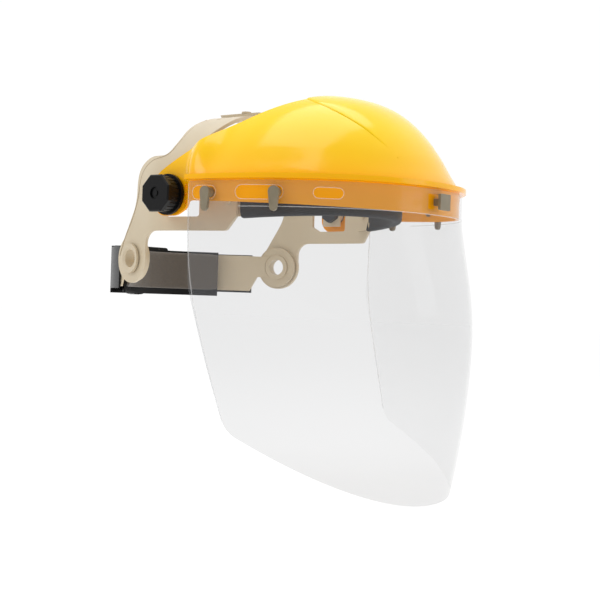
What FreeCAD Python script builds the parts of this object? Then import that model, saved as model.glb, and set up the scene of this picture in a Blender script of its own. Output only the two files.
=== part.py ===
import FreeCAD, Part
import math
import os

from FreeCAD import Vector

# Face shield with a browguard, a moulded clear visor and ratchet headgear.
# Frame: origin midway between the two side pivots, +X to the wearer's left,
# -Y forward, +Z up. Millimetres.

os.makedirs("parts", exist_ok=True)

# ---- Driving dimensions -------------------------------------------------
# Browguard
BROW_HALF_WIDTH = 105.4      # wall outer face, at the widest place
BROW_REACH = 129.3           # wall outer face, forward of SIDE_Y
SIDE_Y = -26.0               # where the round front meets the straight sides
PLAN_POWER = 2.2             # squareness of the plan curve
BROW_WALL = 2.2
PIVOT_FACE = 97.8            # flat knob seat, measured from the middle
JOGGLE_END = -13.0           # behind here the wall is flat, at PIVOT_FACE
WALL_BOTTOM_REAR = -4.5
WALL_BOTTOM_FRONT = -8.8
RIM_Z = 9.0                  # underside of the lip
LIP_HEIGHT = 3.4
LIP_OUT = 4.4                # lip beyond the wall's outer face
DETENT_Y = -15.8             # detent marks on the side walls
DOME_HEIGHT = 66.0
DOME_POWER = 3.2
DOME_RIDGE_Y = -55.0
REAR_EDGE_Z = 22.8           # slanted rear edge: height over the pivots
REAR_EDGE_SLOPE = 0.62       # and its rise per millimetre forward
EAR_FLARE = 7.5              # how much less the dome leans in over the pivots
EAR_START = -46.0            # the flare begins here
EAR_FULL = -18.0             # and is full from here back
LOBE_RADIUS = 14.5

# Visor
VISOR_THICK = 1.2
VISOR_GAP = 0.8              # browguard wall to visor
VISOR_TOP = 8.0
VISOR_FRONT_BOTTOM = -209.0
VISOR_CORNER_Z = -163.0
VISOR_SIDE_TAPER = 11.5
VISOR_BULGE = 15.0
VISOR_BULGE_Z = -98.0

# Headgear
PANEL_THICK = 2.4
PANEL_HALF_WIDTH = 89.6      # side panels' outer face, where they run straight
PANEL_BEND_START = 20.0      # behind here the arms start to toe in
PANEL_BEND_END = 34.0        # and from here they are straight again
PANEL_FRONT_IN = 9.4         # how far the panels' front ends curve in
PANEL_BOTTOM = -24.2
PANEL_FRONT = -46.0
CROWN_TOP = 68.6
CROWN_BASE = 8.0
CROWN_END_ANGLE = 99.0       # degrees; each crown strap passes the middle
CROWN_Y = 11.0               # middle of the lapped straps
BAND_HALF_WIDTH = 82.2
BAND_REACH = 101.5
BAND_SIDE_Y = -9.0
BAND_POWER = 2.1
BAND_THICK = 2.2
BAND_TOP = 12.5
BAND_END_Y = -34.0
STUD_Y = -40.0
SWEAT_END_Y = -46.8
SWEAT_WRAP = 1.5             # outer layer of the sweatband
SWEAT_PAD = 4.5              # padded inner layer
SWEAT_GAP = 0.3
SWEAT_BOTTOM_REAR = -15.8
SWEAT_BOTTOM_FRONT = -11.0

# Pivots
BOLT_RADIUS = 4.0
BOLT_HEAD_RADIUS = 7.4
BOLT_HEAD_HEIGHT = 4.3
BLOCK_HALF_WIDTH = 8.3
BLOCK_BOTTOM = -10.2
BLOCK_TOP = 14.0
BLOCK_PLATE = 1.5
BOSS_RADIUS = 8.0
TONGUE_LOW = 8.2
WASHER_THICK = 0.9
SEAT_WASHER_RADIUS = 10.5
WASHER_GAP = 0.1             # beside each washer
KNOB_LENGTH = 15.3           # from the browguard's seat to the knob's face
KNOB_RADIUS = 12.6
KNOB_FLANGE_RADIUS = 14.2
KNOB_FLANGE_THICK = 2.2
KNOB_CAP_THICK = 3.8
KNOB_RIBS = 24
INSERT_RADIUS = 6.0
RUNNING = 0.05               # radial clearance of a turning fit
FREE = 0.35                  # radial clearance of a free hole

# Nape
RING_Y = 48.7
RING_Z = -44.0
RING_TILT = 12.0             # degrees that the ends of the arms toe in
ARM_DISC_RADIUS = 17.6
STRAP_DISC_RADIUS = 16.0
RIVET_BORE = 6.4
RIVET_RADIUS = 8.0
RIVET_FLANGE = 10.6
RIVET_FLANGE_THICK = 1.8
RIVET_PLAY = 0.85            # arm to the rivet's outer flange, so that the strap can tilt
STRAP_GAP = 0.9              # arm to strap disc
STRAP_THICK = 1.8
STRAP_HEIGHT = 29.0
STRAP_END_X = 19.0
NAPE_Z = -49.7
NAPE_SIDE_Y = 13.0
NAPE_HALF_WIDTH = 85.4
NAPE_REACH = 110.0
NAPE_POWER = 2.0
HOUSING_HALF_WIDTH = 22.6
HOUSING_HALF_HEIGHT = 18.4
HOUSING_WALL = 1.6
HOUSING_FRONT = 116.2
HOUSING_REAR = 134.0
RACK_FRONT = 122.0
RACK_REAR = 124.2
WEB_REAR = 126.2             # rear face of the wall between racks and dial
DIAL_RADIUS = 20.5
DIAL_REAR = 135.8
DIAL_RIBS = 30
SHAFT_RADIUS = 3.4
PINION_TEETH = 14
TOOTH_MODULE = 1.0
RACK_HALF_LENGTH = 15.0
CARRIER_OFFSET = -7.2        # strap middle to the pad carrier's back
CARRIER_WALL = 1.2
CARRIER_TOP = 16.2           # carrier lips above and below the straps' middle
CARRIER_BOTTOM = -19.5
SCREW_SPREAD_X = 12.0
SCREW_RADIUS = 0.7
SCREW_HEAD = 1.1
PAD_HALF_WIDTH = 58.0
PAD_HALF_HEIGHT = 14.5
PAD_THICK = 4.0

# Visor fastenings
BUTTON_HEAD = 3.8
BUTTON_TIP = 2.5
BUTTON_LENGTH = 10.2
BUTTON_THICK = 2.2
BUTTON_STANDOFF = 3.2        # visor face to lever
BUTTON_BOSS = 3.4
BUTTON_PIN = 1.6
BUTTON_Z = 0.0
BUTTON_SLOTS = ((-40.0, 20.0, -44.3), (-81.7, 34.0, -92.0))   # slot middle, length, button
SPARE_SLOT = (-122.5, 20.0, None)
SPARE_HALF_HEIGHT = 3.7
SLOT_HALF_HEIGHT = 4.8
HOOK_WIDTH = 12.5
HOOK_HEIGHT = 11.0
HOOK_THICK = 2.0
HOOK_Z = -0.7
HOOK_HOLE_WIDTH = 24.0
HOOK_HOLE_HEIGHT = 10.4

SIDES = (("right", -1), ("left", 1))


# ---- Small helpers ------------------------------------------------------
def save(name, shape):
    shape.exportStep("parts/%s.step" % name)


def smooth(u):
    u = min(max(u, 0.0), 1.0)
    return u * u * (3.0 - 2.0 * u)


def mirrored(shape):
    return shape.mirror(Vector(0, 0, 0), Vector(1, 0, 0))


def curve_edge(points):
    curve = Part.BSplineCurve()
    curve.interpolate(points)
    return curve.toShape()


def spread(first, last, count):
    return [first + (last - first) * i / (count - 1) for i in range(count)]


def plan_ring(path, inner_off, outer_off, low, high, count=61):
    """Upright band between two offsets of a plan path(u, off), from z low to z high."""
    outer = [Vector(*path(u, outer_off), low) for u in spread(0, 1, count)]
    inner = [Vector(*path(u, inner_off), low) for u in spread(0, 1, count)]
    edges = [curve_edge(outer),
             Part.makeLine(outer[-1], inner[-1]),
             curve_edge(inner[::-1]),
             Part.makeLine(inner[0], outer[0])]
    face = Part.Face(Part.Wire(edges))
    return face.extrude(Vector(0, 0, high - low))


def rounded_wire(corners, to3d):
    """Closed wire of straight runs with a tangent arc of the given radius at each corner."""
    count = len(corners)
    edges = []
    last_end = None
    first_start = None
    for i in range(count):
        ax, ay, _ = corners[i - 1]
        bx, by, radius = corners[i]
        cx, cy, _ = corners[(i + 1) % count]
        before = math.hypot(ax - bx, ay - by)
        after = math.hypot(cx - bx, cy - by)
        ua = ((ax - bx) / before, (ay - by) / before)
        uc = ((cx - bx) / after, (cy - by) / after)
        half = math.acos(max(-1.0, min(1.0, ua[0] * uc[0] + ua[1] * uc[1]))) / 2.0
        back = min(radius / math.tan(half), 0.49 * before, 0.49 * after)
        start = (bx + ua[0] * back, by + ua[1] * back)
        end = (bx + uc[0] * back, by + uc[1] * back)
        if last_end:
            edges.append(Part.makeLine(to3d(*last_end), to3d(*start)))
        else:
            first_start = start
        if back > 1e-6:
            swing = back * math.tan(half)
            middle_x = (ua[0] + uc[0])
            middle_y = (ua[1] + uc[1])
            size = math.hypot(middle_x, middle_y)
            reach = back / math.cos(half) - swing
            mid = (bx + middle_x / size * reach, by + middle_y / size * reach)
            edges.append(Part.Arc(to3d(*start), to3d(*mid), to3d(*end)).toShape())
        last_end = end
    edges.append(Part.makeLine(to3d(*last_end), to3d(*first_start)))
    return Part.Wire(edges)


def side_prism(corners, x_low, x_high):
    """Prism along X of a rounded outline given as (y, z, radius) corners."""
    wire = rounded_wire(corners, lambda y, z: Vector(x_low, y, z))
    return Part.Face(wire).extrude(Vector(x_high - x_low, 0, 0))


def sheet_solid(point, u_values, v_values, thick):
    """Solid skin: point(u, v) on its outer face, thick measured to the inner side."""
    def normal(u, v):
        step = 1e-4
        du = point(u + step, v) - point(u - step, v)
        dv = point(u, v + step) - point(u, v - step)
        out = du.cross(dv)
        return out.normalize()

    outer = [[point(u, v) for v in v_values] for u in u_values]
    inner = [[point(u, v) - normal(u, v) * thick for v in v_values] for u in u_values]
    faces = []
    skins = []
    for grid in (outer, inner):
        surface = Part.BSplineSurface()
        surface.interpolate(grid)
        skins.append(surface)
        faces.append(surface.toShape())
    u0, u1, v0, v1 = skins[0].bounds()
    a0, a1, b0, b1 = skins[1].bounds()
    borders = ((skins[0].uIso(u0), skins[1].uIso(a0)),
               (skins[0].uIso(u1), skins[1].uIso(a1)),
               (skins[0].vIso(v0), skins[1].vIso(b0)),
               (skins[0].vIso(v1), skins[1].vIso(b1)))
    for first, second in borders:
        faces.append(Part.makeRuledSurface(first.toShape(), second.toShape()))
    shell = Part.Compound(faces)
    shell.sewShape(1e-3)
    solid = Part.Solid(shell.Shells[0])
    if solid.Volume < 0:
        solid.reverse()
    return solid


def x_cylinder(radius, x_low, x_high, y=0.0, z=0.0):
    return Part.makeCylinder(radius, x_high - x_low, Vector(x_low, y, z), Vector(1, 0, 0))


def y_cylinder(radius, y_low, y_high, x=0.0, z=0.0):
    return Part.makeCylinder(radius, y_high - y_low, Vector(x, y_low, z), Vector(0, 1, 0))


def box(x_low, x_high, y_low, y_high, z_low, z_high):
    return Part.makeBox(x_high - x_low, y_high - y_low, z_high - z_low,
                        Vector(x_low, y_low, z_low))


def rounded_box(x_low, x_high, y_low, y_high, z_low, z_high, radius):
    shape = box(x_low, x_high, y_low, y_high, z_low, z_high)
    along_y = [edge for edge in shape.Edges
               if abs(edge.Vertexes[0].Y - edge.Vertexes[1].Y) > 1e-6]
    return shape.makeFillet(radius, along_y)


def oriented(shape, origin, normal):
    """Stand a shape built along +Z at the origin on a place, +Z along normal, its X level."""
    z_axis = Vector(normal).normalize()
    x_axis = z_axis.cross(Vector(0, 0, 1)).normalize()
    y_axis = z_axis.cross(x_axis)
    placed = shape.copy()
    placed.Placement = FreeCAD.Placement(origin, FreeCAD.Rotation(x_axis, y_axis, z_axis, "ZXY"))
    return placed


# ---- Plan curves --------------------------------------------------------
def round_front(half_width, reach, centre_y, power, angle):
    s = math.sin(angle)
    c = math.cos(angle)
    k = (abs(s) ** power + abs(c) ** power) ** (-1.0 / power)
    return half_width * s * k, centre_y - reach * c * k


def brow_side(y, extra):
    """Half width of the browguard behind SIDE_Y, extra beyond the wall's outer face."""
    drop = BROW_HALF_WIDTH - PIVOT_FACE
    return BROW_HALF_WIDTH + extra - drop * smooth((y - SIDE_Y) / (JOGGLE_END - SIDE_Y))


def straight_side(y, extra):
    return BROW_HALF_WIDTH + extra


def brow_path(rear_y, side_width=brow_side):
    """path(u, extra) from the right rear, round the front, to the left rear."""
    straight = 0.25

    def path(u, extra):
        if u < straight or u > 1.0 - straight:
            share = (u if u < straight else 1.0 - u) / straight
            y = rear_y + (SIDE_Y - rear_y) * share
            x = side_width(y, extra)
            return (-x if u < 0.5 else x), y
        angle = math.pi * ((u - straight) / (1.0 - 2.0 * straight) - 0.5)
        return round_front(BROW_HALF_WIDTH + extra, BROW_REACH + extra, SIDE_Y, PLAN_POWER, angle)
    return path


# ---- Browguard ----------------------------------------------------------
DOME_REAR = 26.0             # the skin reaches here before trimming
BROW_PATH = brow_path(DOME_REAR)
WALL_SHARE = 0.24            # share of the skin that is upright wall


def ear_swell(foot):
    """0 at the rim, 1 where the ears stand out most, falling away towards the ridge."""
    fade = 5
    peak = fade / (fade + 1.0)
    return (1.0 - foot) * foot ** fade / ((1.0 - peak) * peak ** fade)


def shell_point(u, v):
    """u runs round the plan, v from below the wall, up it and over towards the ridge."""
    x, y = BROW_PATH(u, 0.0)
    if v < WALL_SHARE:
        low = -LOBE_RADIUS - 2.0
        return Vector(x, y, low + (RIM_Z - low) * v / WALL_SHARE)
    foot = 1.0 - 0.9 * (v - WALL_SHARE) / (1.0 - WALL_SHARE)
    flare = EAR_FLARE * smooth((y - EAR_START) / (EAR_FULL - EAR_START)) * ear_swell(foot)
    if y < DOME_RIDGE_Y:
        y = DOME_RIDGE_Y + foot * (y - DOME_RIDGE_Y)
    return Vector(foot * x + math.copysign(flare, x), y,
                  RIM_Z + DOME_HEIGHT * (1.0 - foot ** DOME_POWER))


def brow_outline():
    """Side view of the browguard: lobe, wall bottom, open front, slanted rear edge."""
    front = SIDE_Y - BROW_REACH
    tall = RIM_Z + DOME_HEIGHT + 20.0
    ahead = (REAR_EDGE_Z - tall) / REAR_EDGE_SLOPE
    lobe_top_y = 9.0
    return [(LOBE_RADIUS, LOBE_RADIUS - 2.0, 4.0),
            (LOBE_RADIUS, -LOBE_RADIUS, LOBE_RADIUS - 1.0),
            (-6.0, -LOBE_RADIUS, 14.0),
            (-24.0, WALL_BOTTOM_REAR - 0.4, 16.0),
            (front - 20.0, WALL_BOTTOM_FRONT - 1.2, 0.0),
            (front - 20.0, tall, 0.0),
            (ahead, tall, 0.0),
            (lobe_top_y, REAR_EDGE_Z - REAR_EDGE_SLOPE * lobe_top_y, 10.0)]


def make_browguard():
    wide = BROW_HALF_WIDTH + 30.0
    rows = spread(0, WALL_SHARE, 5) + spread(WALL_SHARE, 1, 17)[1:]
    shell = sheet_solid(shell_point, spread(0, 1, 81), rows, BROW_WALL)
    shell = shell.common(side_prism(brow_outline(), -wide, wide))
    lip_path = brow_path(SIDE_Y + 2.0, straight_side)
    lip = plan_ring(lip_path, -BROW_WALL / 2.0, LIP_OUT, RIM_Z, RIM_Z + LIP_HEIGHT)
    upper = shell.fuse(lip)
    for _, side in SIDES:
        near, far = sorted((side * 60.0, side * wide))
        upper = upper.cut(x_cylinder(BOLT_RADIUS + RUNNING, near, far))
        for low, high in ((5.0, 6.0), (0.0, 0.0), (-6.0, -5.0)):
            mark = x_cylinder(1.2, near, far, DETENT_Y, low)
            if high > low:
                mark = mark.fuse(x_cylinder(1.2, near, far, DETENT_Y, high))
            upper = upper.cut(mark)
    return upper


# ---- Visor --------------------------------------------------------------
VISOR_OUT = VISOR_GAP + VISOR_THICK      # visor's outer face beyond the wall
VISOR_LOW = -216.0                       # the skin reaches here before trimming


def visor_bulge(z):
    """How far the front stands forward of its top edge at height z."""
    top = WALL_BOTTOM_FRONT
    if z > top:
        return 0.0
    if z > VISOR_BULGE_Z:
        share = (top - z) / (top - VISOR_BULGE_Z)
        return VISOR_BULGE * math.sin(0.5 * math.pi * share) ** 1.3
    share = (VISOR_BULGE_Z - z) / (VISOR_BULGE_Z - VISOR_FRONT_BOTTOM)
    return VISOR_BULGE * (1.0 - 0.92 * share ** 2)


def visor_point(u, v):
    """u runs from the right rear edge round the front, v from the bottom to the top."""
    z = VISOR_LOW + (VISOR_TOP - VISOR_LOW) * v
    drop = max(WALL_BOTTOM_FRONT - z, 0.0) / (WALL_BOTTOM_FRONT - VISOR_CORNER_Z)
    half_width = BROW_HALF_WIDTH + VISOR_OUT - VISOR_SIDE_TAPER * drop ** 1.4
    reach = BROW_REACH + VISOR_OUT + visor_bulge(z)
    x, y = round_front(half_width, reach, SIDE_Y, PLAN_POWER, math.pi * (u - 0.5))
    return Vector(x, y, z)


def visor_outline():
    """Side view: straight top, swept rear edge, rounded corner, rising bottom edge."""
    rear = SIDE_Y + 0.5
    front = SIDE_Y - BROW_REACH - VISOR_BULGE - 30.0
    slope = (VISOR_CORNER_Z - VISOR_FRONT_BOTTOM) / 104.0
    return [(rear, VISOR_TOP + 5.0, 0.0),
            (rear, -62.0, 60.0),
            (rear - 15.0, -115.0, 120.0),
            (rear - 29.5, VISOR_CORNER_Z + 3.5, 20.0),
            (front, VISOR_CORNER_Z + 3.5 + slope * (front - rear + 29.5), 0.0),
            (front, VISOR_TOP + 5.0, 0.0)]


def face_frame(y, side, extra):
    """Point and outward normal on the rounded front, at distance y along it."""
    low, high = 0.0, 0.5 * math.pi
    for _ in range(50):
        angle = 0.5 * (low + high)
        found = round_front(BROW_HALF_WIDTH + extra, BROW_REACH + extra, SIDE_Y, PLAN_POWER, angle)
        if found[1] < y:
            low = angle
        else:
            high = angle
    step = 1e-4
    x0, y0 = round_front(BROW_HALF_WIDTH + extra, BROW_REACH + extra, SIDE_Y, PLAN_POWER, angle - step)
    x1, y1 = round_front(BROW_HALF_WIDTH + extra, BROW_REACH + extra, SIDE_Y, PLAN_POWER, angle + step)
    return (Vector(side * found[0], found[1], 0.0),
            Vector(side * (y1 - y0), -(x1 - x0), 0.0).normalize())


def stadium(length, half_height, low, high):
    """Slot-shaped prism along Z, its length along X."""
    run = length / 2.0 - half_height
    body = Part.makeBox(2.0 * run, 2.0 * half_height, high - low,
                        Vector(-run, -half_height, low))
    ends = [Part.makeCylinder(half_height, high - low, Vector(place, 0, low))
            for place in (-run, run)]
    return body.fuse(ends)


def at_height(point, z):
    return Vector(point.x, point.y, z)


def make_visor():
    wide = BROW_HALF_WIDTH + 30.0
    skin = sheet_solid(visor_point, spread(0, 1, 49), spread(0, 1, 33), VISOR_THICK)
    visor = skin.common(side_prism(visor_outline(), -wide, wide))
    for _, side in SIDES:
        for y, length, button_y in BUTTON_SLOTS + (SPARE_SLOT,):
            point, normal = face_frame(y, side, VISOR_OUT)
            slot = stadium(length, SLOT_HALF_HEIGHT if button_y else SPARE_HALF_HEIGHT, -5.0, 5.0)
            visor = visor.cut(oriented(slot, at_height(point, BUTTON_Z), normal))
    front = SIDE_Y - BROW_REACH - VISOR_OUT
    hole = rounded_box(-HOOK_HOLE_WIDTH / 2.0, HOOK_HOLE_WIDTH / 2.0, front - 5.0, front + 5.0,
                       HOOK_Z - HOOK_HOLE_HEIGHT / 2.0, HOOK_Z + HOOK_HOLE_HEIGHT / 2.0, 1.0)
    return visor.cut(hole)


# ---- Visor fastenings ---------------------------------------------------
BUTTON_REACH = VISOR_OUT + BUTTON_STANDOFF       # wall face to the lever's back


def make_button():
    """Turn-button about local Z, its lever pointing along local +Y, back at z = 0.1."""
    top = BUTTON_REACH + BUTTON_THICK
    boss = Part.makeCylinder(BUTTON_BOSS, BUTTON_REACH, Vector(0, 0, 0.1))
    head = Part.makeCylinder(BUTTON_HEAD, BUTTON_THICK, Vector(0, 0, BUTTON_REACH))
    tip = Part.makeCylinder(BUTTON_TIP, BUTTON_THICK, Vector(0, BUTTON_LENGTH, BUTTON_REACH))
    outline = [Vector(-BUTTON_HEAD, 0, BUTTON_REACH), Vector(BUTTON_HEAD, 0, BUTTON_REACH),
               Vector(BUTTON_TIP, BUTTON_LENGTH, BUTTON_REACH),
               Vector(-BUTTON_TIP, BUTTON_LENGTH, BUTTON_REACH),
               Vector(-BUTTON_HEAD, 0, BUTTON_REACH)]
    blade = Part.Face(Part.makePolygon(outline)).extrude(Vector(0, 0, BUTTON_THICK))
    bore = Part.makeCylinder(BUTTON_PIN + RUNNING, top - 0.8, Vector(0, 0, 0.0))
    return boss.fuse([head, tip, blade]).removeSplitter().cut(bore)


def make_button_pin():
    top = BUTTON_REACH + BUTTON_THICK - 1.0
    shank = Part.makeCylinder(BUTTON_PIN, top + BROW_WALL, Vector(0, 0, -BROW_WALL))
    head = Part.makeCylinder(3.2, 1.0, Vector(0, 0, -BROW_WALL - 1.2))
    return shank.fuse(head)


def make_hook():
    """T-shaped hook at the middle of the front, standing through the visor's square hole."""
    wall = SIDE_Y - BROW_REACH
    face = wall - BUTTON_REACH - 0.4
    stem = box(-3.0, 3.0, face - 0.5, wall - 0.02, HOOK_Z - 2.4, HOOK_Z + 2.4)
    low, high = HOOK_Z - HOOK_HEIGHT / 2.0, HOOK_Z + HOOK_HEIGHT / 2.0
    plate = rounded_box(-HOOK_WIDTH / 2.0, HOOK_WIDTH / 2.0, face - HOOK_THICK, face, low, high, 0.8)
    notch = box(-1.1, 1.1, face - 0.4, wall - 2.6, HOOK_Z + 1.0, high)
    return stem.fuse(plate).cut(notch)


# ---- Headgear -----------------------------------------------------------
def panel_half(y):
    """Outer face of a side panel, measured from the middle."""
    if y < PANEL_BEND_START:
        deep = (PANEL_BEND_START - y) / (PANEL_BEND_START - PANEL_FRONT)
        return PANEL_HALF_WIDTH - PANEL_FRONT_IN * deep ** 2
    slope = math.tan(math.radians(RING_TILT))
    bend = PANEL_BEND_END - PANEL_BEND_START
    if y < PANEL_BEND_END:
        return PANEL_HALF_WIDTH - slope * (y - PANEL_BEND_START) ** 2 / (2.0 * bend)
    return PANEL_HALF_WIDTH - slope * (y - PANEL_BEND_START - bend / 2.0)


PANEL_LOW = RING_Z - ARM_DISC_RADIUS - 2.0
PANEL_REAR = RING_Y + ARM_DISC_RADIUS + 2.0


def frame_point(crown_top):
    """Skin of a left side panel that runs up into its half of the crown strap."""
    def point(u, v):
        y = PANEL_FRONT - 2.0 + (PANEL_REAR - PANEL_FRONT + 2.0) * u
        upright = 0.4
        if v < upright:
            z = PANEL_LOW + (CROWN_BASE - PANEL_LOW) * v / upright
            return Vector(panel_half(y), y, z)
        angle = math.radians(CROWN_END_ANGLE) * (v - upright) / (1.0 - upright)
        return Vector(panel_half(y) * math.cos(angle), y,
                      CROWN_BASE + (crown_top - CROWN_BASE) * math.sin(angle))
    return point


def frame_outline():
    """Side view: arm, panel, and the strap rising from the panel to the crown."""
    above = CROWN_TOP + 8.0
    return [(RING_Y + ARM_DISC_RADIUS - 0.4, RING_Z + 3.0, 0.0),
            (44.5, -4.5, 30.0),
            (42.9, 29.6, 17.0),
            (17.2, 29.8, 6.0),
            (15.4, 42.0, 14.0),
            (24.0, 61.0, 14.0),
            (31.0, 67.0, 3.0),
            (31.0, above, 0.0),
            (-6.0, above, 0.0),
            (-6.0, 66.0, 6.0),
            (-11.5, 54.0, 16.0),
            (-7.0, 40.0, 20.0),
            (-12.0, 16.0, 8.0),
            (PANEL_FRONT, 14.0, 4.0),
            (PANEL_FRONT, -14.0, 3.0),
            (PANEL_FRONT + 7.5, PANEL_BOTTOM, 4.0),
            (RING_Y - ARM_DISC_RADIUS + 0.6, PANEL_BOTTOM, 15.0),
            (RING_Y - ARM_DISC_RADIUS + 0.6, RING_Z, 0.0)]


def window_outline():
    return [(-17.5, 9.0, 3.0), (17.5, 9.0, 3.0), (17.5, -10.8, 2.0),
            (10.5, -14.5, 2.0), (-17.5, -14.5, 2.0)]


def ring_frame():
    """Centre of the left ring on the arm's outer face, and its outward normal."""
    tilt = math.radians(RING_TILT)
    return Vector(panel_half(RING_Y), RING_Y, RING_Z), Vector(math.cos(tilt), math.sin(tilt), 0.0)


def crown_holes(top):
    """Row of size holes along a crown strap, with the two that take the pegs."""
    holes = [Part.makeCylinder(1.9, 30.0, Vector(x, CROWN_Y, top - 15.0))
             for x in (-7.0, 7.0, 17.0, 27.0, 37.0)]
    return holes[0].fuse(holes[1:])


def make_left_frame(crown_top):
    skin = sheet_solid(frame_point(crown_top), spread(0, 1, 25), spread(0, 1, 41), PANEL_THICK)
    outline = side_prism(frame_outline(), -40.0, 110.0)
    disc = x_cylinder(ARM_DISC_RADIUS, -40.0, 110.0, RING_Y, RING_Z)
    window = side_prism(window_outline(), 40.0, 110.0)
    frame = skin.common(outline.fuse(disc)).cut([window, crown_holes(crown_top)])
    centre, normal = ring_frame()
    hole = Part.makeCylinder(RIVET_RADIUS + FREE, 12.0, Vector(0, 0, -6.0))
    frame = frame.cut(oriented(hole, centre, normal))
    for z in (-3.0, 7.0):
        frame = frame.cut(x_cylinder(2.0, 60.0, 100.0, STUD_Y, z))
    return frame


def band_path(end_y):
    """path(u, extra) round the forehead between the two places at end_y."""
    low, high = 0.0, 0.5 * math.pi
    for _ in range(50):
        angle = 0.5 * (low + high)
        if round_front(BAND_HALF_WIDTH, BAND_REACH, BAND_SIDE_Y, BAND_POWER, angle)[1] < end_y:
            low = angle
        else:
            high = angle
    last = angle

    def path(u, extra):
        return round_front(BAND_HALF_WIDTH + extra, BAND_REACH + extra, BAND_SIDE_Y, BAND_POWER,
                           last * (2.0 * u - 1.0))
    return path


def above_bottom(lift, top=60.0):
    """Everything above the sweatband's slanting bottom edge, raised by lift."""
    front = BAND_SIDE_Y - BAND_REACH
    slope = (SWEAT_BOTTOM_FRONT - SWEAT_BOTTOM_REAR) / (front - SWEAT_END_Y)

    def edge(y):
        return SWEAT_BOTTOM_REAR + slope * (y - SWEAT_END_Y) + lift
    near, far = BAND_END_Y + 10.0, front - 20.0
    return side_prism([(near, edge(near), 0.0), (near, top, 0.0),
                       (far, top, 0.0), (far, edge(far), 0.0)], -120.0, 120.0)


def make_front_band():
    ring = plan_ring(band_path(BAND_END_Y), -BAND_THICK, 0.0, -24.0, BAND_TOP)
    band = ring.common(above_bottom(1.8))
    for z in (-3.0, 7.0):
        band = band.cut(x_cylinder(2.0, -100.0, 100.0, STUD_Y, z))
    return band


def make_sweatband():
    path = band_path(SWEAT_END_Y)
    pad_out = -BAND_THICK - SWEAT_GAP
    wrap = plan_ring(path, SWEAT_GAP, SWEAT_GAP + SWEAT_WRAP, -24.0, BAND_TOP)
    pad = plan_ring(path, pad_out - SWEAT_PAD, pad_out, -24.0, BAND_TOP)
    fold = plan_ring(path, pad_out - SWEAT_PAD, SWEAT_GAP + SWEAT_WRAP, -24.0, 0.0)
    fold = fold.cut(above_bottom(1.5))
    return wrap.fuse([pad, fold]).common(above_bottom(0.0))


def make_band_studs():
    studs = []
    for z in (-3.0, 7.0):
        outer = panel_half(STUD_Y)
        shank = x_cylinder(1.95, outer - 7.0, outer + 1.0, STUD_Y, z)
        head = x_cylinder(3.4, outer + 0.9, outer + 2.0, STUD_Y, z)
        tail = x_cylinder(2.8, outer - 8.0, outer - 6.8, STUD_Y, z)
        stud = shank.fuse([head, tail])
        studs.extend([stud, mirrored(stud)])
    return Part.Compound(studs)


def make_crown_pegs():
    pegs = []
    low = CROWN_TOP - 2.0 * PANEL_THICK - 1.6
    for x in (-7.0, 7.0):
        shank = Part.makeCylinder(1.8, CROWN_TOP + 0.3 - low, Vector(x, CROWN_Y, low))
        head = Part.makeCylinder(3.6, 1.2, Vector(x, CROWN_Y, CROWN_TOP + 0.2))
        tail = Part.makeCylinder(2.6, 1.0, Vector(x, CROWN_Y, low - 0.4))
        pegs.append(shank.fuse([head, tail]))
    return Part.Compound(pegs)


# ---- Pivots -------------------------------------------------------------
SEAT_INNER = PIVOT_FACE - BROW_WALL
BLOCK_OUTER = SEAT_INNER - WASHER_THICK - 2.0 * WASHER_GAP
BLOCK_INNER = panel_half(BLOCK_HALF_WIDTH) + 0.02
KNOB_BASE = PIVOT_FACE + WASHER_THICK + 2.0 * WASHER_GAP
KNOB_FACE = PIVOT_FACE + KNOB_LENGTH


def make_pivot_block():
    plate = box(BLOCK_INNER, BLOCK_INNER + BLOCK_PLATE, -BLOCK_HALF_WIDTH, BLOCK_HALF_WIDTH,
                BLOCK_BOTTOM, BLOCK_TOP)
    boss = x_cylinder(BOSS_RADIUS, BLOCK_INNER, BLOCK_OUTER)
    tongue = box(BLOCK_INNER - 5.0, BLOCK_INNER, -BLOCK_HALF_WIDTH, BLOCK_HALF_WIDTH,
                 TONGUE_LOW, TONGUE_LOW + 0.75)
    bore = x_cylinder(BOLT_RADIUS + RUNNING, BLOCK_INNER - 1.0, BLOCK_OUTER + 1.0)
    return plate.fuse([boss, tongue]).cut(bore)


def make_pivot_bolt():
    corners = [Vector(BLOCK_INNER - BOLT_HEAD_HEIGHT,
                      BOLT_HEAD_RADIUS * math.sin(math.radians(60.0 * i)),
                      BOLT_HEAD_RADIUS * math.cos(math.radians(60.0 * i))) for i in range(7)]
    head = Part.Face(Part.makePolygon(corners)).extrude(Vector(BOLT_HEAD_HEIGHT - 0.02, 0, 0))
    return head.fuse(x_cylinder(BOLT_RADIUS, BLOCK_INNER - 0.5, KNOB_FACE - 6.0))


def make_washer(low, radius):
    ring = x_cylinder(radius, low, low + WASHER_THICK)
    return ring.cut(x_cylinder(BOLT_RADIUS + FREE, low - 1.0, low + WASHER_THICK + 1.0))


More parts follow.
